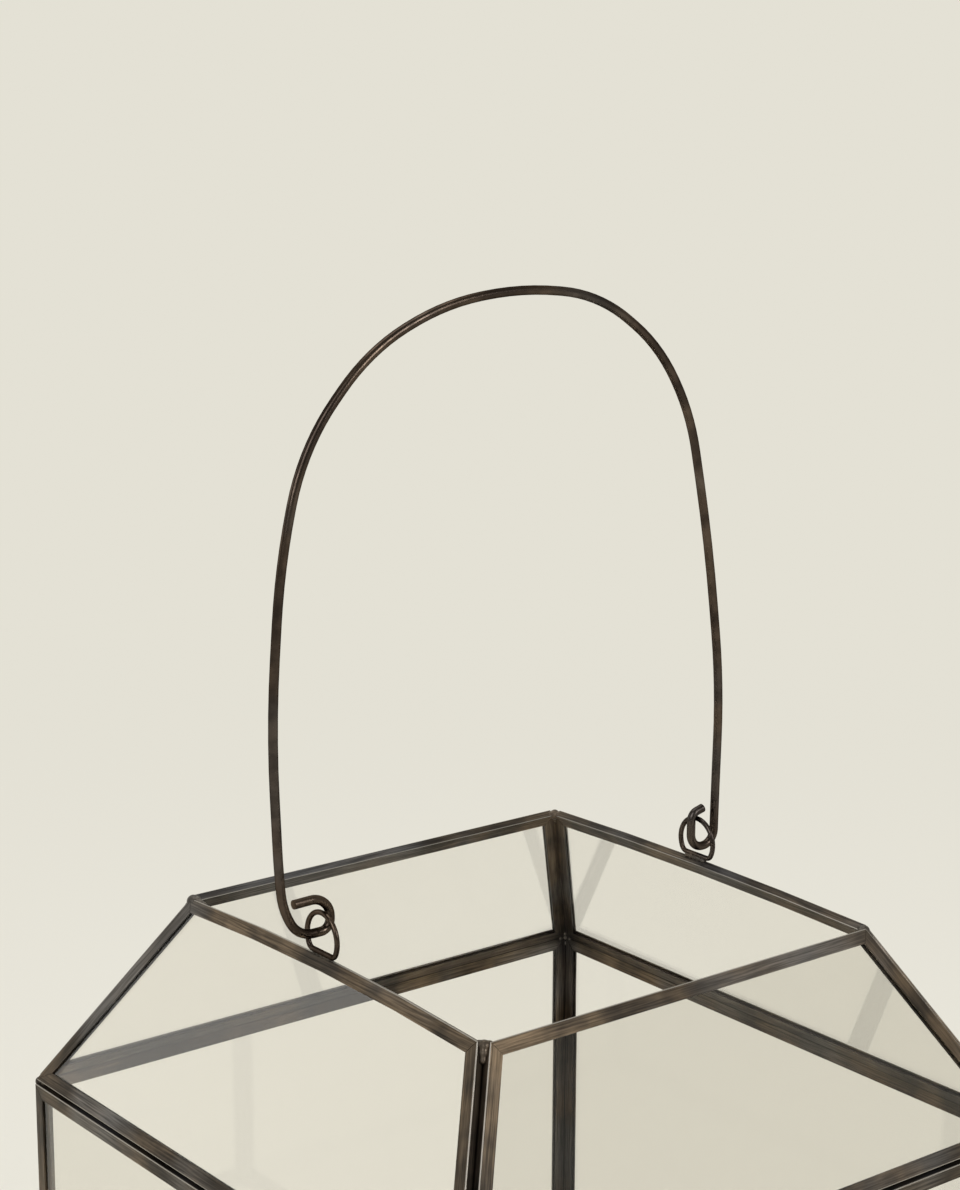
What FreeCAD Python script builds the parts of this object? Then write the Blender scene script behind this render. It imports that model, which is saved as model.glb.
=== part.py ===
import FreeCAD, Part
import math
import os
from FreeCAD import Vector

# Open-topped glass candle lantern: a square body, a sloping roof that stops at an open rim, and a
# wire bail.  Millimetres, +Z up, origin at the middle of the underside, +X along the bail's span.
# The hollow is set out first; each framed pane is a flat plate laid on the outside of one face of it.

# ---- the hollow, on the inner faces of the plates ----
rim_half = 80.0        # half the width of the open top
shoulder_half = 120.4  # half the width of the body
roof_height = 69.7     # shoulder to rim
body_height = 200.0    # table to shoulder

# ---- framing strip: a thin channel folded round the edge of every pane ----
strip_width = 4.7      # how far its lips reach over the pane
strip_depth = 3.2      # across the channel, which is the thickness of a framed pane
strip_gauge = 0.5      # sheet the strip is folded from
fold_radius = 0.4      # outside radius of its folds
rim_bow = 2.3          # the two strips that carry the bail are drawn up this much at their middle
seam_width = 0.2       # line where the lips of two lengths meet at a corner
seam_depth = 0.12
seam_overrun = 1.0     # the cut that makes the line runs out at both ends
least_seam_turn = 0.5  # radians; a smaller turn is a bend of the strip, not a corner

# ---- panes ----
glass_thickness = 2.0
floor_thickness = 2.0
pane_clearance = 0.2   # edge of a pane to the web of its channel

# ---- solder ----
rim_lump_radius = 2.9
shoulder_lump_radius = 3.3
base_lump_radius = 3.2
lump_rise = 0.35       # how far a lump stands proud of the rim
base_clearance = 0.1   # lumps of the base stay this far off the table
bead_radius = 1.5      # bead under each ring
bead_overrun = 0.6     # how far the bead runs past the ring's flat
bead_rounding = 0.6    # share of the bead's radius taken by its rounded ends

# ---- rings that carry the bail ----
ring_wire = 1.8
ring_radius = 8.35     # centre line of the round part
ring_flat_drop = 5.15  # centre of the ring down to the centre line of its flat foot
ring_corner = 2.4      # bend between foot and round
ring_inset = 0.0       # ring's plane back from the outer edge of the rim strip
ring_shift = 2.3       # rings and bail stand this far behind the middle of the rim

# ---- bail: one length of bent wire ----
bail_wire = 3.1
bail_rise = 213.0      # rim to the top of the wire's bending line
link_clearance = 0.45  # running clearance of a hook on its ring
left_throw = 16.4      # leg outside its ring, left
right_throw = 8.4      # leg outside its ring, right
# Corners of the bending line from leg to crown: inward from the leg, share of the rise.
left_bends = [(0.0, 0.17), (-2.0, 0.385), (2.0, 0.625), (11.0, 0.795), (36.0, 0.925), (65.0, 0.985), (97.0, 1.0)]
right_bends = [(0.0, 0.118), (-1.0, 0.31), (6.0, 0.555), (16.0, 0.775), (31.0, 0.89), (58.0, 0.98)]
# Corners of each hook from its tip to the leg: outward from the hook's inner side, up from the pivot.
left_hook = [(13.8, 13.4), (4.2, 13.6), (-0.3, 9.5), (-0.2, 2.2), (12.0, 2.2), (18.0, 12.6)]
right_hook = [(5.3, 11.9), (0.0, 10.6), (0.0, -2.3), (11.0, -2.3)]
bend_share = 0.48      # part of each run that the bend at its end may take

up = Vector(0, 0, 1)
sides = {"front": 270.0, "right": 0.0, "back": 90.0, "left": 180.0}
rim_z = body_height + roof_height
shoulder_z = body_height
floor_z = strip_depth
slope = math.atan2(roof_height, shoulder_half - rim_half)
strip_out = strip_depth * math.sin(slope)
strip_up = strip_depth * math.cos(slope)


def direction(angle):
    return Vector(math.cos(math.radians(angle)), math.sin(math.radians(angle)), 0)


def corner(angle, half, side, z):
    """A corner of the hollow, seen along one of its faces: side is -1 or 1."""
    return direction(angle) * half + direction(angle + 90) * (half * side) + up * z


def roof_face(angle):
    return [corner(angle, shoulder_half, -1, shoulder_z), corner(angle, shoulder_half, 1, shoulder_z),
            corner(angle, rim_half, 1, rim_z), corner(angle, rim_half, -1, rim_z)]


def bowed_roof_face(angle):
    """A roof face whose rim edge is drawn up in its own plane, as a flat curve of four runs."""
    face = roof_face(angle)
    rise = (face[2] - face[1] + face[3] - face[0]).normalize() * rim_bow
    run = face[3] - face[2]
    curve = [face[2] + run * share + rise * (4 * share * (1 - share)) for share in (0.25, 0.5, 0.75)]
    return face[:3] + curve + face[3:]


def roof_outline(angle):
    """The outline of a roof frame: the left and the right one have the bowed rim strip."""
    return bowed_roof_face(angle) if angle % 180 == 0 else roof_face(angle)


def body_face(angle):
    return [corner(angle, shoulder_half, -1, floor_z), corner(angle, shoulder_half, 1, floor_z),
            corner(angle, shoulder_half, 1, shoulder_z), corner(angle, shoulder_half, -1, shoulder_z)]


def floor_face():
    return [corner(0, shoulder_half, 1, floor_z), corner(0, shoulder_half, -1, floor_z),
            corner(180, shoulder_half, 1, floor_z), corner(180, shoulder_half, -1, floor_z)]


def normal_of(face):
    normal = (face[1] - face[0]).cross(face[2] - face[1])
    return normal.normalize()


def inset(face, distance):
    """The outline moved inwards in its own plane."""
    normal = normal_of(face)
    moved = []
    for i, point in enumerate(face):
        before = normal.cross(point - face[i - 1]).normalize()
        after = normal.cross(face[(i + 1) % len(face)] - point).normalize()
        moved.append(point + (before + after) * (distance / (1 + before.dot(after))))
    return moved


def slab(face, low, high):
    """The outline as a solid between two heights over its plane, outwards."""
    normal = normal_of(face)
    base = [point + normal * low for point in face]
    return flat(base).extrude(normal * (high - low))


def plate(face):
    """The full outside shape of one framed pane.  The folds on its outer side are rounded; those on
    its inner side stay sharp, and neighbours meet on them."""
    block = slab(face, 0, strip_depth)
    normal = normal_of(face)
    inner_side = face[0].dot(normal)
    folds = [edge for edge in block.Edges
             if edge.CenterOfMass.dot(normal) > inner_side + strip_depth / 4]
    return block.makeFillet(min(fold_radius, strip_depth / 3), folds)


def seam_cuts(face):
    """Thin cuts where the lips meet at the corners, on both sides of the plate."""
    normal = normal_of(face)
    cuts = []
    starts = inset(face, -seam_overrun)
    ends = inset(face, strip_width + seam_overrun)
    for i, (outer, inner) in enumerate(zip(starts, ends)):
        turn = (face[i] - face[i - 1]).getAngle(face[(i + 1) % len(face)] - face[i])
        if turn < least_seam_turn:
            continue
        across = normal.cross(inner - outer).normalize() * (seam_width / 2)
        line = [outer - across, inner - across, inner + across, outer + across]
        cuts.append(slab(line, -seam_depth, seam_depth))
        cuts.append(slab(line, strip_depth - seam_depth, strip_depth + seam_depth))
    return cuts


def strip_frame(face):
    """The folded strip round one pane: a channel that opens inwards, with a window through it."""
    window = slab(inset(face, strip_width), -strip_depth, 2 * strip_depth)
    channel = slab(inset(face, strip_gauge), strip_gauge, strip_depth - strip_gauge)
    return plate(face).cut([window, channel] + seam_cuts(face))


def pane(face, thickness):
    low = (strip_depth - thickness) / 2
    return slab(inset(face, strip_gauge + pane_clearance), low, low + thickness)


def flat(points):
    return Part.Face(Part.makePolygon(points + points[:1]))


def hollow():
    """The space inside, with the open mouth carried on upwards."""
    body = Part.makeBox(2 * shoulder_half, 2 * shoulder_half, shoulder_z - floor_z,
                        Vector(-shoulder_half, -shoulder_half, floor_z))
    walls = [flat(roof_face(angle)) for angle in sides.values()]
    walls.append(flat([corner(angle, shoulder_half, 1, shoulder_z) for angle in sides.values()]))
    walls.append(flat([corner(angle, rim_half, 1, rim_z) for angle in sides.values()]))
    roof = Part.Solid(Part.Shell(walls))
    if roof.Volume < 0:
        roof.reverse()
    mouth = Part.makeBox(2 * rim_half, 2 * rim_half, 4 * strip_depth, Vector(-rim_half, -rim_half, rim_z))
    return [body, roof, mouth]


def lump(point, outwards, radius, faces, low, high):
    """Solder in the open corner where the plates on these faces meet, kept between two heights."""
    ball = Part.makeSphere(radius, point + outwards * (strip_depth / 2))
    reach = 4 * radius
    keep = Part.makeBox(reach, reach, high - low, Vector(point.x - reach / 2, point.y - reach / 2, low))
    solid = ball.common(keep)
    for cutter in hollow() + [slab(face, 0, strip_depth) for face in faces]:
        solid = solid.cut(cutter)
    return solid


def lumps(half, z, radius, faces_beside, low, high):
    """One lump at each corner; faces_beside gives the faces that lean on the side at an angle."""
    solids = []
    for angle in sides.values():
        faces = faces_beside(angle) + faces_beside(angle + 90)
        solids.append(lump(corner(angle, half, 1, z), direction(angle + 45), radius, faces, low, high))
    return Part.makeCompound(solids)


def rounded_path(points):
    """Straight runs joined by tangent arcs, one arc at each inner corner."""
    edges = []
    start = points[0]
    for before, point, after in zip(points, points[1:], points[2:]):
        into = point - before
        away = after - point
        turn = into.getAngle(away)
        reach = bend_share * min(into.Length, away.Length)
        into.normalize()
        away.normalize()
        first = point - into * reach
        last = point + away * reach
        middle = point + (away - into).normalize() * (reach * math.tan(turn / 4))
        edges.append(Part.LineSegment(start, first).toShape())
        edges.append(Part.Arc(first, middle, last).toShape())
        start = last
    edges.append(Part.LineSegment(start, points[-1]).toShape())
    return Part.Wire(edges)


def wire_along(path, diameter, start, heading):
    section = Part.Wire(Part.makeCircle(diameter / 2, start, heading))
    return path.makePipeShell([section], True, False)


bow_rise = rim_bow * strip_out / strip_depth
bow_in = rim_bow * strip_up / strip_depth
ring_plane = rim_half - bow_in + strip_out - ring_inset
web_rise = (ring_plane - rim_half + bow_in) * strip_up / strip_out + bow_rise
foot_z = rim_z + web_rise + ring_wire / 2 * strip_depth / strip_out
pivot_z = foot_z + ring_flat_drop
hook_inner = ring_plane - (ring_wire + bail_wire) / 2 - link_clearance


def ring_point(side, along, rise):
    return Vector(side * ring_plane, ring_shift + along, pivot_z + rise)


def ring_foot_half():
    """Half the straight length of the ring's foot."""
    inner = ring_radius - ring_corner
    return math.sqrt(inner ** 2 - (ring_flat_drop - ring_corner) ** 2)


def ring(side):
    """A round ring with a flat foot, standing across the rim strip."""
    half = ring_foot_half()
    bend_rise = ring_corner - ring_flat_drop
    scale = ring_radius / (ring_radius - ring_corner)
    centre_angle = math.atan2(bend_rise, half)
    mid_angle = (centre_angle - math.pi / 2) / 2
    mid_along = half + ring_corner * math.cos(mid_angle)
    mid_rise = bend_rise + ring_corner * math.sin(mid_angle)

    def bend(sign):
        return Part.Arc(ring_point(side, sign * half, -ring_flat_drop),
                        ring_point(side, sign * mid_along, mid_rise),
                        ring_point(side, sign * half * scale, bend_rise * scale)).toShape()

    round_part = Part.Arc(ring_point(side, half * scale, bend_rise * scale),
                          ring_point(side, 0, ring_radius),
                          ring_point(side, -half * scale, bend_rise * scale)).toShape()
    path = Part.Wire([bend(1), round_part, bend(-1)])
    loop = wire_along(path, ring_wire, ring_point(side, half, -ring_flat_drop), Vector(0, 1, 0))
    foot = Part.makeCylinder(ring_wire / 2, 2 * half, ring_point(side, -half, -ring_flat_drop),
                             Vector(0, 1, 0))
    return loop.fuse(foot).removeSplitter()


def ring_bead(side, ring_solid):
    """Solder that runs under the ring's foot, lying on the edge of the rim strip."""
    half = ring_foot_half() + bead_overrun
    sunk = ring_wire / 2
    bead = Part.makeCylinder(bead_radius, 2 * half, ring_point(side, -half, -ring_flat_drop - sunk),
                             Vector(0, 1, 0))
    bead = bead.makeFillet(bead_radius * bead_rounding, bead.Edges)
    rim = slab(roof_outline(90 - 90 * side), 0, strip_depth)
    return bead.cut(rim).cut(ring_solid)


def bail_point(side, out, z):
    return Vector(side * out, ring_shift, z)


def bail_half(side, throw, hook, bends):
    """Bending line of one half, from the hook's tip to the crown."""
    leg = ring_plane + throw
    points = [bail_point(side, hook_inner + out, pivot_z + rise) for out, rise in hook]
    points += [bail_point(side, leg - inward, rim_z + bail_rise * share) for inward, share in bends]
    return points


def bail():
    left = bail_half(-1, left_throw, left_hook, left_bends)
    right = bail_half(1, right_throw, right_hook, right_bends)
    points = left + right[::-1]
    path = rounded_path(points)
    solid = wire_along(path, bail_wire, points[0], points[1] - points[0])
    print("bail wire %.1f mm long, volume %.1f of %.1f mm3"
          % (path.Length, solid.Volume, path.Length * math.pi * bail_wire ** 2 / 4))
    return solid


def save(name, shape):
    shape.exportStep("parts/%s.step" % name)
    print("%-22s solids %d valid %s volume %.1f"
          % (name, len(shape.Solids), shape.isValid(), shape.Volume))


os.makedirs("parts", exist_ok=True)
for name, angle in sides.items():
    save("roof_frame_" + name, strip_frame(roof_outline(angle)))
    save("roof_pane_" + name, pane(roof_face(angle), glass_thickness))
    save("body_frame_" + name, strip_frame(body_face(angle)))
    save("body_pane_" + name, pane(body_face(angle), glass_thickness))
save("floor_frame", strip_frame(floor_face()))
save("floor_plate", pane(floor_face(), floor_thickness))

save("rim_solder", lumps(rim_half, rim_z, rim_lump_radius, lambda angle: [roof_outline(angle)],
                         rim_z - 2 * rim_lump_radius, rim_z + strip_up + lump_rise))
save("shoulder_solder", lumps(shoulder_half, shoulder_z, shoulder_lump_radius,
                              lambda angle: [roof_face(angle), body_face(angle)],
                              shoulder_z - 2 * shoulder_lump_radius, shoulder_z + 2 * shoulder_lump_radius))
save("base_solder", lumps(shoulder_half, floor_z, base_lump_radius,
                          lambda angle: [body_face(angle), floor_face()],
                          base_clearance, floor_z + 2 * base_lump_radius))

for name, side in (("left", -1), ("right", 1)):
    link = ring(side)
    save("bail_ring_" + name, link)
    save("ring_solder_" + name, ring_bead(side, link))
save("bail", bail())
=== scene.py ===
import bpy
import math
from mathutils import Matrix, Vector


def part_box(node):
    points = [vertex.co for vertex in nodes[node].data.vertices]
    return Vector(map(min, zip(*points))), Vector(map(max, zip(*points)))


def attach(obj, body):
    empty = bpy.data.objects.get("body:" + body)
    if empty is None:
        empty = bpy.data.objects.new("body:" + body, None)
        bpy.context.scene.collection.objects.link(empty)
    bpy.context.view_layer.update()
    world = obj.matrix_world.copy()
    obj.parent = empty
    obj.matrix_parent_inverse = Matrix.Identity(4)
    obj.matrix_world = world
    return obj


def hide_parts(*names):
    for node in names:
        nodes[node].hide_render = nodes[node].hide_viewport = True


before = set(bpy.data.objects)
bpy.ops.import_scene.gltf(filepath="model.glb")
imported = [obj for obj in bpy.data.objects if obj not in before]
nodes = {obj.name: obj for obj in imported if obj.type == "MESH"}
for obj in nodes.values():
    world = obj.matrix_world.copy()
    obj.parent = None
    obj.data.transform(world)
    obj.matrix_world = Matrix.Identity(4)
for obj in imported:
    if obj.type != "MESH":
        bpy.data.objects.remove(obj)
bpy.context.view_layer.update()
sides = ["front", "right", "back", "left"]

# ---- Camera ----
# A long lens a little above the rim, looking at the front left corner of the lantern.  The frame cuts
# off the lower body, so only the rim, the roof and the upper part of the body show.
camera_place = Vector((-0.5308, -0.6498, 0.5713))
camera_azimuth = math.radians(-38.195)
camera_elevation = math.radians(12.756)
camera_roll = math.radians(0.234)
lens_mm = 78.75

camera_data = bpy.data.cameras.new("camera")
camera_data.sensor_width = 36.0
camera_data.lens = lens_mm
camera_data.clip_start = 0.01
camera = bpy.data.objects.new("camera", camera_data)
bpy.context.scene.collection.objects.link(camera)
bpy.context.scene.camera = camera
back = Vector((math.sin(camera_azimuth) * math.cos(camera_elevation),
               -math.cos(camera_azimuth) * math.cos(camera_elevation), math.sin(camera_elevation)))
right = Vector((math.cos(camera_azimuth), math.sin(camera_azimuth), 0))
turn = Matrix.Rotation(camera_roll, 3, "Z")
axes = Matrix((right, back.cross(right), back)).transposed() @ turn
camera.matrix_world = Matrix.Translation(camera_place) @ axes.to_4x4()

# ---- Light and backdrop ----
# A pale room: the world lights the lantern evenly, big soft lamps stand to the left, in front and above,
# and a window behind on the left veils the left panes.  Camera and glass see one warm off-white; gloss
# sees it too, dimmer on the camera's side.
backdrop = (0.775, 0.752, 0.665, 1)
room_light = (0.98, 0.98, 1.0, 1)
room_strength = 0.72
gloss_low, gloss_high = 0.3, 0.95
backdrop_side = (0.618, 0.786, -0.25)    # away from the camera
gloss_start, gloss_end = -0.5, 0.9


def backdrop_rays(tree):
    """Is 1 for the rays that meet the backdrop: the camera's own, and those off gloss or through glass."""
    path = tree.nodes.new("ShaderNodeLightPath")
    value = path.outputs["Is Camera Ray"]
    for kind in ("Is Glossy Ray", "Is Transmission Ray"):
        either = tree.nodes.new("ShaderNodeMath")
        either.operation = "MAXIMUM"
        tree.links.new(value, either.inputs[0])
        tree.links.new(path.outputs[kind], either.inputs[1])
        value = either.outputs[0]
    return value


def smooth_step(tree, value, low, high, first=0.0, last=1.0):
    """Eases from first to last while the value goes from low to high."""
    node = tree.nodes.new("ShaderNodeMapRange")
    node.interpolation_type = "SMOOTHSTEP"
    for name, number in (("From Min", low), ("From Max", high), ("To Min", first), ("To Max", last)):
        node.inputs[name].default_value = number
    tree.links.new(value, node.inputs["Value"])
    return node.outputs[0]


def blend_shaders(tree, share, first, second, output):
    """Leads two shaders to the output, mixed by the share of the second."""
    blend = tree.nodes.new("ShaderNodeMixShader")
    for socket, source in zip(blend.inputs, (share, first, second)):
        tree.links.new(source, socket)
    tree.links.new(blend.outputs[0], output.inputs["Surface"])


world = bpy.data.worlds.new("room")
bpy.context.scene.world = world
world.use_nodes = True
room = world.node_tree
room.nodes.clear()
plain = room.nodes.new("ShaderNodeBackground")
plain.inputs["Color"].default_value = room_light
plain.inputs["Strength"].default_value = room_strength
shown = room.nodes.new("ShaderNodeBackground")
shown.inputs["Color"].default_value = backdrop
heading = room.nodes.new("ShaderNodeTexCoord")
facing = room.nodes.new("ShaderNodeVectorMath")
facing.operation = "DOT_PRODUCT"
facing.inputs[1].default_value = backdrop_side
room.links.new(heading.outputs["Generated"], facing.inputs[0])
dimmed = smooth_step(room, facing.outputs["Value"], gloss_start, gloss_end, gloss_low, gloss_high)
path = room.nodes.new("ShaderNodeLightPath")
strength = room.nodes.new("ShaderNodeMix")
strength.inputs["A"].default_value = 1.0
room.links.new(path.outputs["Is Glossy Ray"], strength.inputs["Factor"])
room.links.new(dimmed, strength.inputs["B"])
room.links.new(strength.outputs["Result"], shown.inputs["Strength"])
blend_shaders(room, backdrop_rays(room), plain.outputs[0], shown.outputs[0],
              room.nodes.new("ShaderNodeOutputWorld"))


def soft_lamp(name, place, target, size, watts):
    """A flat rectangular lamp turned towards its target."""
    data = bpy.data.lights.new(name, "AREA")
    data.shape = "RECTANGLE"
    data.size, data.size_y = size
    data.energy = watts
    lamp = bpy.data.objects.new(name, data)
    bpy.context.scene.collection.objects.link(lamp)
    lamp.location = place
    lamp.rotation_mode = "QUATERNION"
    lamp.rotation_quaternion = (Vector(target) - Vector(place)).to_track_quat("-Z", "Y")


soft_lamp("key", (-1.5, -0.7, 1.5), (0, 0, 0.25), (1.0, 1.4), 15)
soft_lamp("fill", (0.67, -1.87, 1.27), (0, 0, 0.25), (0.6, 0.9), 17)
soft_lamp("top", (0.2, 0.6, 2.0), (0, 0, 0.2), (1.2, 1.2), 7)
soft_lamp("window", (-1.62, 1.8, 1.05), (-0.1, 0, 0.23), (1.6, 1.4), 5.5)

floor_size = 30.0
shadow_reach = 0.45    # up to here the floor shows its shadow
horizon_start = 1.6    # from here on it is the backdrop's own colour
near_glow = 0.6        # the glowing share of the floor near the lantern
bpy.ops.object.select_all(action="DESELECT")
bpy.ops.mesh.primitive_plane_add(size=floor_size, location=(0, 0, 0))
ground = bpy.context.object
ground.name = "ground"
paint = bpy.data.materials.new("pale_floor")
paint.use_nodes = True
tree = paint.node_tree
tree.nodes.clear()
spot = tree.nodes.new("ShaderNodeNewGeometry")
far = tree.nodes.new("ShaderNodeVectorMath")
far.operation = "LENGTH"
tree.links.new(spot.outputs["Position"], far.inputs[0])
share = tree.nodes.new("ShaderNodeMath")
share.operation = "MULTIPLY"
tree.links.new(backdrop_rays(tree), share.inputs[0])
spread = smooth_step(tree, far.outputs["Value"], shadow_reach, horizon_start, near_glow)
tree.links.new(spread, share.inputs[1])
matt = tree.nodes.new("ShaderNodeBsdfDiffuse")
matt.inputs["Color"].default_value = backdrop
glow = tree.nodes.new("ShaderNodeEmission")
glow.inputs["Color"].default_value = backdrop
blend_shaders(tree, share.outputs[0], matt.outputs[0], glow.outputs[0],
              tree.nodes.new("ShaderNodeOutputMaterial"))
ground.data.materials.append(paint)

# ---- Framed panes: folded strip ----
# Each pane is edged by a thin metal channel, folded round it and mitred at the corners, then darkened
# with an antique patina.  The patina lies in fine streaks along the strip.  Over it light and shade are
# painted: shade with a cool cast on the webs, shade in the grooves and seams, a highlight along the folds.
strip_width = 0.0047
rim_half = 0.080
free_height = 0.2685   # the rim strips' webs lie above this, with no neighbour
lip_limit = 0.97       # how squarely a face looks out of the pane to be a lip
web_limit = 0.3        # and how little to be a web; folds lie between
level_limit = 0.1      # how little a run may climb to be level
inner_share = 0.9      # deeper than this share of the channel is its inner side
streaks_along, streaks_across = 50.0, 1700.0    # per metre
painted_light_marks = ("web", "groove_shade", "seam_shade", "fold_highlight")


def patina_group():
    """Colour, roughness and relief of darkened metal: clouds of brown and grey under fine streaks."""
    group = bpy.data.node_groups.new("patina", "ShaderNodeTree")
    socket = group.interface.new_socket
    for name, kind, value in (("Vector", "NodeSocketVector", (0, 0, 0)),
                              ("Dark", "NodeSocketColor", (0.03, 0.026, 0.022, 1)),
                              ("Warm", "NodeSocketColor", (0.1, 0.07, 0.04, 1)),
                              ("Cool", "NodeSocketColor", (0.08, 0.085, 0.09, 1)),
                              ("Scale", "NodeSocketFloat", 1.0),
                              ("Contrast", "NodeSocketFloat", 0.5),
                              ("Roughness", "NodeSocketFloat", 0.4)):
        socket(name=name, in_out="INPUT", socket_type=kind).default_value = value
    socket(name="Color", in_out="OUTPUT", socket_type="NodeSocketColor")
    socket(name="Roughness", in_out="OUTPUT", socket_type="NodeSocketFloat")
    socket(name="Height", in_out="OUTPUT", socket_type="NodeSocketFloat")
    new, link = group.nodes.new, group.links.new
    given = new("NodeGroupInput")
    result = new("NodeGroupOutput")
    place = new("ShaderNodeTexCoord")
    scaled = new("ShaderNodeVectorMath")
    scaled.operation = "SCALE"
    link(given.outputs["Vector"], scaled.inputs[0])
    link(given.outputs["Scale"], scaled.inputs["Scale"])

    def noise(vector, scale, detail, rough):
        node = new("ShaderNodeTexNoise")
        node.inputs["Scale"].default_value = scale
        node.inputs["Detail"].default_value = detail
        node.inputs["Roughness"].default_value = rough
        link(vector, node.inputs["Vector"])
        return node.outputs["Fac"]

    def mix(kind, factor, first, second):
        node = new("ShaderNodeMix")
        node.data_type = "RGBA"
        node.blend_type = kind
        if isinstance(factor, float):
            node.inputs["Factor"].default_value = factor
        else:
            link(factor, node.inputs["Factor"])
        link(first, node.inputs["A"])
        link(second, node.inputs["B"])
        return node.outputs["Result"]

    streaks = noise(scaled.outputs[0], 1.0, 4.0, 0.6)
    clouds = noise(place.outputs["Object"], 42.0, 3.0, 0.55)
    tints = noise(place.outputs["Object"], 19.0, 2.0, 0.5)
    grain = noise(place.outputs["Object"], 1500.0, 2.0, 0.6)
    base = mix("MIX", smooth_step(group, clouds, 0.36, 0.68), given.outputs["Dark"], given.outputs["Warm"])
    base = mix("MIX", smooth_step(group, tints, 0.48, 0.68, 0.0, 0.7), base, given.outputs["Cool"])
    shade = new("ShaderNodeMapRange")    # from one less the contrast to one more
    link(smooth_step(group, streaks, 0.3, 0.72), shade.inputs["Value"])
    spread = new("ShaderNodeMath")
    spread.operation = "SUBTRACT"
    spread.inputs[0].default_value = 1.0
    link(given.outputs["Contrast"], spread.inputs[1])
    lift = new("ShaderNodeMath")
    lift.operation = "ADD"
    lift.inputs[0].default_value = 1.0
    link(given.outputs["Contrast"], lift.inputs[1])
    link(spread.outputs[0], shade.inputs["To Min"])
    link(lift.outputs[0], shade.inputs["To Max"])
    grey = new("ShaderNodeCombineColor")
    for name in ("Red", "Green", "Blue"):
        link(shade.outputs[0], grey.inputs[name])
    base = mix("MULTIPLY", 1.0, base, grey.outputs[0])
    link(base, result.inputs["Color"])
    rough = new("ShaderNodeMath")
    rough.operation = "ADD"
    link(smooth_step(group, streaks, 0.25, 0.75, 0.08, -0.08), rough.inputs[0])
    link(given.outputs["Roughness"], rough.inputs[1])
    link(rough.outputs[0], result.inputs["Roughness"])
    link(grain, result.inputs["Height"])
    return group


patina = patina_group()


def dark_metal(name, dark, warm, cool, scale, contrast, roughness, metallic, relief):
    """Patinated metal from the shared group; scale is in streaks per metre or map unit, relief in metres."""
    material = bpy.data.materials.new(name)
    material.use_nodes = True
    tree = material.node_tree
    shader = tree.nodes["Principled BSDF"]
    shader.inputs["Metallic"].default_value = metallic
    place = tree.nodes.new("ShaderNodeTexCoord")
    node = tree.nodes.new("ShaderNodeGroup")
    node.name = "patina"
    node.node_tree = patina
    for key, value in (("Dark", dark), ("Warm", warm), ("Cool", cool), ("Scale", scale),
                       ("Contrast", contrast), ("Roughness", roughness)):
        node.inputs[key].default_value = value
    bump = tree.nodes.new("ShaderNodeBump")
    bump.inputs["Strength"].default_value = 0.3
    bump.inputs["Distance"].default_value = relief
    tree.links.new(place.outputs["Object"], node.inputs["Vector"])
    tree.links.new(node.outputs["Color"], shader.inputs["Base Color"])
    tree.links.new(node.outputs["Roughness"], shader.inputs["Roughness"])
    tree.links.new(node.outputs["Height"], bump.inputs["Height"])
    tree.links.new(bump.outputs[0], shader.inputs["Normal"])
    return material


def strip_patina_painted_light():
    """The patina laid along the strip, with painted shade on the webs, grooves and seams and a painted
    highlight along the folds.
    """
    material = dark_metal("patinated_strip_painted_light", dark=(0.036, 0.028, 0.020, 1), warm=(0.125, 0.090, 0.056, 1),
                          cool=(0.13, 0.124, 0.117, 1), scale=1.0, contrast=0.55, roughness=0.4,
                          metallic=0.8, relief=0.00008)
    tree = material.node_tree
    shader = tree.nodes["Principled BSDF"]
    group = tree.nodes["patina"]
    run = tree.nodes.new("ShaderNodeUVMap")
    run.uv_map = "run"
    stretch = tree.nodes.new("ShaderNodeVectorMath")
    stretch.operation = "MULTIPLY"
    stretch.inputs[1].default_value = (streaks_along, streaks_across, 0.0)
    tree.links.new(run.outputs[0], stretch.inputs[0])
    tree.links.new(stretch.outputs[0], group.inputs["Vector"])
    tone = group.outputs["Color"]
    # Painted light over the patina: shade with a cool cast on the webs, shade deep in the grooves and along
    # the seams between strips, a highlight along the folds.
    painted_marks = (("web", 0.0, 1.0, "MULTIPLY", (0.78, 0.84, 0.95, 1), 0.8),
             ("groove_shade", 0.7, 1.0, "MULTIPLY", (0.16, 0.14, 0.12, 1), 1.0),
             ("seam_shade", 0.9, 1.0, "MULTIPLY", (0.12, 0.1, 0.09, 1), 1.0),
             ("fold_highlight", 0.86, 0.97, "MIX", (0.46, 0.43, 0.38, 1), 0.7))
    for name, low, high, kind, colour, amount in painted_marks:
        mark = tree.nodes.new("ShaderNodeAttribute")
        mark.attribute_name = name
        over = tree.nodes.new("ShaderNodeMix")
        over.data_type = "RGBA"
        over.blend_type = kind
        over.inputs["B"].default_value = colour
        cover = smooth_step(tree, mark.outputs["Fac"], low, high, 0.0, amount)
        tree.links.new(cover, over.inputs["Factor"])
        tree.links.new(tone, over.inputs["A"])
        tone = over.outputs["Result"]
    tree.links.new(tone, shader.inputs["Base Color"])
    return material


def strip_runs():
    """The directions that lengths of strip take: along the three axes and down the four ridges."""
    low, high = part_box("roof_pane_front")
    down = low.z - high.z
    out_by = (high.x - low.x) / 2 - rim_half
    ridges = [Vector((x * out_by, y * out_by, down)).normalized() for x in (-1, 1) for y in (-1, 1)]
    return [Vector((1, 0, 0)), Vector((0, 1, 0)), Vector((0, 0, 1))] + ridges


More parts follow.
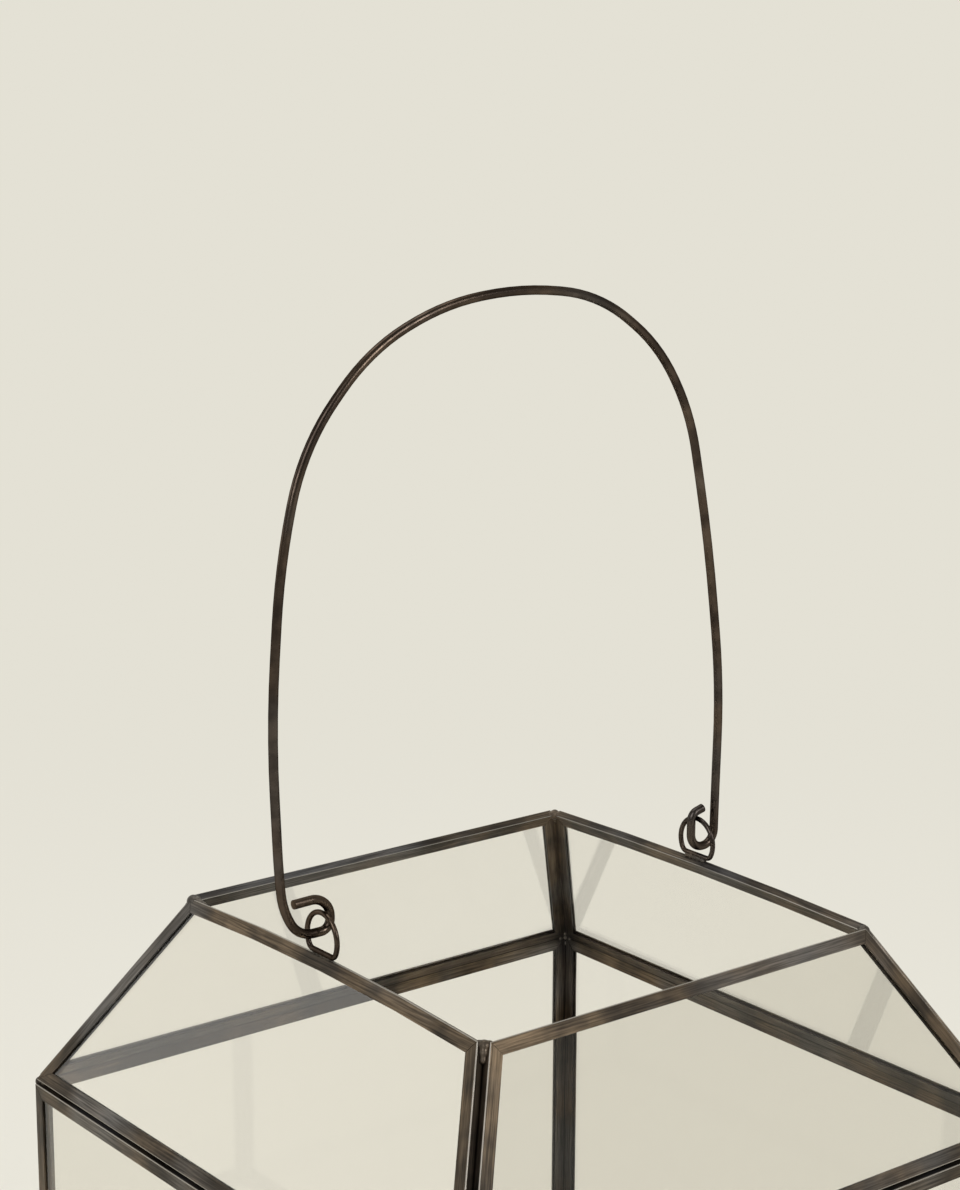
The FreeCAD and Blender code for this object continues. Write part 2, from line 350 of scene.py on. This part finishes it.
def mark_strip(node):
    """Lays a map along the nearest run of the strip and marks where light is painted: shade on its webs,
    grooves and seams, a highlight on its folds.

    A mark rises from 0 to 1 across its face: groove shade towards the inner side of a web that faces a
    neighbour, seam shade towards the neighbour on an inner lip, a fold highlight towards a free inner edge."""
    mesh = nodes[node].data
    face_across = max(mesh.polygons, key=lambda face: face.area).normal.copy()
    points = [vertex.co.copy() for vertex in mesh.vertices]
    heights = [point.dot(face_across) for point in points]
    inner = min(heights, key=abs)    # the inner side lies nearer to the lantern's own origin
    outer = max(heights, key=abs)
    mesh.uv_layers.new(name="run")
    for name in painted_light_marks:
        mesh.attributes.new(name, "FLOAT", "CORNER")
    layer = mesh.uv_layers["run"]
    painted_marks = {name: mesh.attributes[name] for name in painted_light_marks}
    reaches = {}
    for face in mesh.polygons:
        square = abs(face.normal.dot(face_across))
        corners = [points[index] for index in face.vertices]
        edges = [corners[i] - corners[i - 1] for i in range(len(corners))]
        along = max(edges, key=lambda edge: edge.length)
        along = max(runs, key=lambda run: abs(run.dot(along)))
        side = face.normal.cross(along)
        free = abs(along.z) < level_limit and face.center.z > free_height
        for loop in face.loop_indices:
            index = mesh.loops[loop].vertex_index
            layer.data[loop].uv = (points[index].dot(along), points[index].dot(side))
            depth = (heights[index] - outer) / (inner - outer)
            # Webs take painted shade with a cool cast; a web facing a neighbour also takes painted shade
            # deepening into the groove, a free rim web a painted highlight towards its inner edge.
            if square < web_limit:
                painted_marks["web"].data[loop].value = 1.0
                painted_marks["fold_highlight" if free else "groove_shade"].data[loop].value = depth
            # Faces round a fold take a painted highlight.
            elif square < lip_limit:
                painted_marks["fold_highlight"].data[loop].value = 1.0
            # Inner lips take painted shade along the seam with the neighbouring strip.
            elif depth > inner_share and not free:
                outwards = face_across.cross(along).normalized()
                if outwards.dot(face.center - middle_of(node)) < 0:
                    outwards = -outwards
                key = tuple(round(part, 1) for part in outwards)
                if key not in reaches:
                    reaches[key] = max(point.dot(outwards) for point in points)
                from_edge = reaches[key] - points[index].dot(outwards)
                painted_marks["seam_shade"].data[loop].value = 1 - from_edge / strip_width


def middle_of(node):
    """Middle of a piece's bounding box."""
    low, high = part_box(node)
    return (Vector(low) + Vector(high)) / 2


def dress(node, material):
    """Gives a carried-over piece its finish."""
    nodes[node].data.materials.clear()
    nodes[node].data.materials.append(material)


runs = strip_runs()
strip_metal = strip_patina_painted_light()
for node in [part + side for part in ("roof_frame_", "body_frame_") for side in sides] + ["floor_frame"]:
    mark_strip(node)
    dress(node, strip_metal)

# ---- Panes ----
# Clear 2 mm float glass with a faint warm grey cast, cut to drop into the channel; the floor is glass
# too.  Light reaches the inside through it, so its shadow is left open.
glass_cast = (0.93, 0.92, 0.89, 1)


def clear_glass():
    """Clear glass whose shadow lets the light through."""
    material = bpy.data.materials.new("pane_glass")
    material.use_nodes = True
    tree = material.node_tree
    shader = tree.nodes["Principled BSDF"]
    shader.inputs["Base Color"].default_value = glass_cast
    shader.inputs["Roughness"].default_value = 0.0
    shader.inputs["IOR"].default_value = 1.5
    shader.inputs["Transmission Weight"].default_value = 1.0
    path = tree.nodes.new("ShaderNodeLightPath")
    open_shadow = tree.nodes.new("ShaderNodeBsdfTransparent")
    open_shadow.inputs["Color"].default_value = glass_cast
    blend_shaders(tree, path.outputs["Is Shadow Ray"], shader.outputs[0], open_shadow.outputs[0],
                  tree.nodes["Material Output"])
    return material


glass = clear_glass()
for side in sides:
    dress("roof_pane_" + side, glass)
    dress("body_pane_" + side, glass)
dress("floor_plate", glass)

# ---- Solder ----
# Soft solder has run into the open corners where the framed panes meet.  At every corner a few round
# blobs are melted into one skin, which sinks into the groove between the strips.
solder_metal = dark_metal("patinated_solder", dark=(0.05, 0.042, 0.034, 1), warm=(0.13, 0.102, 0.075, 1),
                          cool=(0.15, 0.145, 0.138, 1), scale=500.0, contrast=0.28, roughness=0.42,
                          metallic=0.85, relief=0.00015)
solder_voxel = 0.0003
# Corners of the hollow behind the strips, on the +X +Y side.
rim = Vector((rim_half, rim_half, 0.2697))
shoulder = Vector((0.1204, 0.1204, 0.200))
foot = Vector((0.1204, 0.1204, 0.0032))
ridge = (shoulder - rim).normalized()
post = Vector((0, 0, -1))


def corner_blobs(place, lift, radius, arms, run_step, run_radius, run_lift=0.0):
    """Blobs for all four corners: one in the joint, one on each level strip and those on the arms.

    An arm is a direction on the +X +Y side, a distance from the joint and a radius."""
    blobs = []
    for x in (-1, 1):
        for y in (-1, 1):
            turned = Matrix.Diagonal((x, y, 1))
            outward = turned @ Vector((1, 1, 0)).normalized()
            middle = turned @ place + outward * lift
            blobs.append((middle, radius))
            blobs += [(middle + turned @ arm * far, size) for arm, far, size in arms]
            blobs += [(middle + turned @ run * run_step + outward * run_lift, run_radius)
                      for run in (Vector((-1, 0, 0)), Vector((0, -1, 0)))]
    return blobs


def melt(name, node, blobs):
    """One skin over all blobs of a node; it stands in for the plain solid."""
    (first_centre, first_radius), *others = blobs
    bpy.ops.object.select_all(action="DESELECT")
    bpy.ops.mesh.primitive_ico_sphere_add(subdivisions=3, radius=first_radius, location=first_centre)
    piece = bpy.context.object
    piece.name = name
    bpy.ops.object.transform_apply(location=True, rotation=True, scale=True)
    bpy.ops.object.mode_set(mode="EDIT")
    for centre, radius in others:
        bpy.ops.mesh.primitive_ico_sphere_add(subdivisions=3, radius=radius, location=centre)
    bpy.ops.object.mode_set(mode="OBJECT")
    skin = piece.modifiers.new("melt", "REMESH")
    skin.mode = "VOXEL"
    skin.voxel_size = solder_voxel
    bpy.ops.object.modifier_apply(modifier="melt")
    flow = piece.modifiers.new("flow", "SMOOTH")
    flow.factor = 0.6
    flow.iterations = 12
    bpy.ops.object.modifier_apply(modifier="flow")
    bpy.ops.object.shade_smooth()
    piece.data.materials.append(solder_metal)
    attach(piece, "lantern")
    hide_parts(node)


rim_blobs = corner_blobs(rim, lift=0.0014, radius=0.0020,
                         arms=[(ridge, 0.0024, 0.0016), (ridge, 0.0045, 0.0012)],
                         run_step=0.0022, run_radius=0.0015, run_lift=0.0006)
shoulder_blobs = corner_blobs(shoulder, lift=0.0010, radius=0.0018,
                              arms=[(-ridge, 0.0030, 0.0014), (post, 0.0030, 0.0014)],
                              run_step=0.0030, run_radius=0.0013)
base_blobs = corner_blobs(foot, lift=0.0016, radius=0.0024, arms=[(-post, 0.0035, 0.0016)],
                          run_step=0.0035, run_radius=0.0015)

# The left corner was loaded more heavily: its solder caps the joint and runs on along the rim.
cap_start = Vector((-0.0814, 0.0804, 0.2698))
cap_step, cap_radius, cap_taper = Vector((0, -0.0022, 0)), 0.0024, 0.0003
rim_blobs += [(cap_start + cap_step * step, cap_radius - cap_taper * step) for step in range(4)]

# A short bead runs under the flat foot of each ring.
bead_radius, bead_step, bead_inset, bead_drop = 0.0012, Vector((0, 0.0021, 0)), 0.0004, 0.0002
for side, sign in (("left", -1), ("right", 1)):
    middle = middle_of("bail_ring_" + side)
    seat = Vector((middle.x - sign * bead_inset, middle.y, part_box("bail_ring_" + side)[0].z - bead_drop))
    melt("ring_solder_skin_" + side, "ring_solder_" + side,
         [(seat + bead_step * step, bead_radius) for step in range(-2, 3)])

melt("rim_solder_skin", "rim_solder", rim_blobs)
melt("shoulder_solder_skin", "shoulder_solder", shoulder_blobs)
melt("base_solder_skin", "base_solder", base_blobs)

# ---- Rings and bail ----
# Drawn wire, bent cold and darkened: two small rings with a flat foot, and the bail, whose hooks sit
# in them.
wire_gloss_tint = (0.35, 0.35, 0.35, 1)
wire_metal = dark_metal("patinated_wire", dark=(0.05, 0.038, 0.031, 1), warm=(0.1, 0.074, 0.055, 1),
                        cool=(0.085, 0.08, 0.078, 1), scale=160.0, contrast=0.25, roughness=0.27,
                        metallic=1.0, relief=0.00006)
wire_shader = wire_metal.node_tree.nodes["Principled BSDF"]
wire_shader.inputs["Specular Tint"].default_value = wire_gloss_tint
for node in ("bail_ring_left", "bail_ring_right", "bail"):
    dress(node, wire_metal)

bpy.context.scene.view_settings.view_transform = "Standard"
